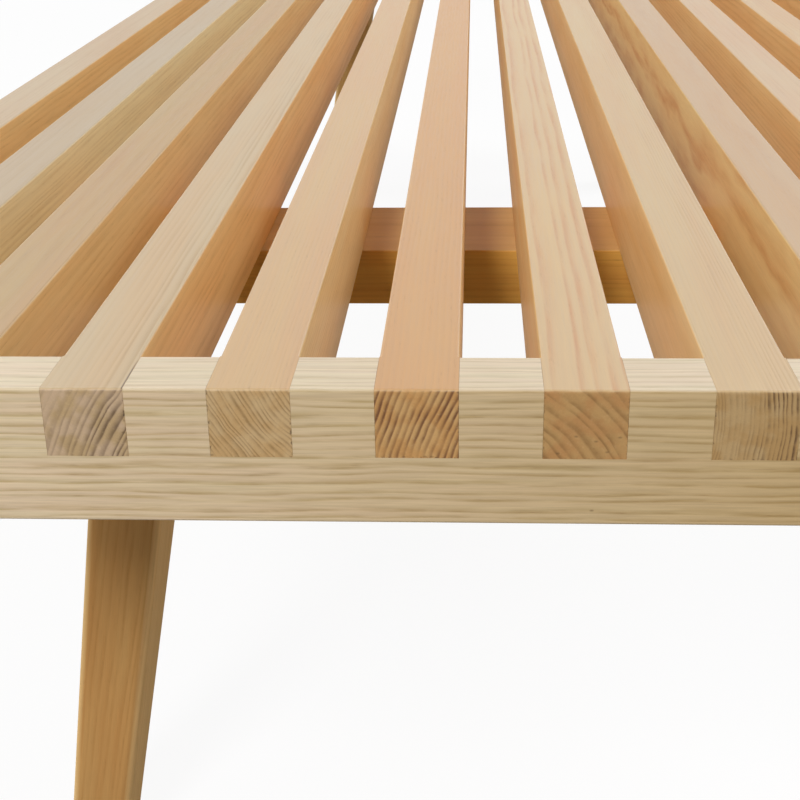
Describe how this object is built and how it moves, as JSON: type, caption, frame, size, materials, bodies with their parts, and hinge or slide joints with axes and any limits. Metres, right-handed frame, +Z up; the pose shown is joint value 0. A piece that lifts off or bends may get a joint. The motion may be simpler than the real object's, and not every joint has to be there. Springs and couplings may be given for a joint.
{
  "type": "platform bench",
  "caption": "Low slatted platform bench in pale solid wood, its slats half-lapped into the end rails, on tapered splayed legs tenoned into cross bars.",
  "frame": {"origin": "on the floor, under the middle of the bench top", "axes": "+X across the slats, +Y along the slats, +Z up; the pictured end looks along -Y"},
  "size_m": [0.4658, 1.83, 0.356],
  "materials": {
    "ash_wood": "clear satin finish over pale ash",
    "pin_wood": "end grain of a turned hardwood pin, clear satin",
    "screw_steel": "zinc-plated steel",
    "glide_plastic": "moulded brown plastic"
  },
  "bodies": {
    "root": {"slat_01": "ash_wood", "slat_02": "ash_wood", "slat_03": "ash_wood", "slat_04": "ash_wood", "slat_05": "ash_wood", "slat_06": "ash_wood", "slat_07": "ash_wood", "slat_08": "ash_wood", "slat_09": "ash_wood", "slat_10": "ash_wood", "slat_11": "ash_wood", "slat_12": "ash_wood", "end_rail_front": "ash_wood", "end_rail_back": "ash_wood", "cross_bar_front": "ash_wood", "cross_bar_back": "ash_wood", "leg_front_left": "ash_wood", "leg_front_right": "ash_wood", "leg_back_left": "ash_wood", "leg_back_right": "ash_wood", "leg_pin_front_left": "pin_wood", "leg_pin_front_right": "pin_wood", "leg_pin_back_left": "pin_wood", "leg_pin_back_right": "pin_wood", "bar_screws_front": "screw_steel", "bar_screws_back": "screw_steel", "foot_glide_front_left": "glide_plastic", "foot_glide_front_right": "glide_plastic", "foot_glide_back_left": "glide_plastic", "foot_glide_back_right": "glide_plastic"}
  },
  "joints": []
}
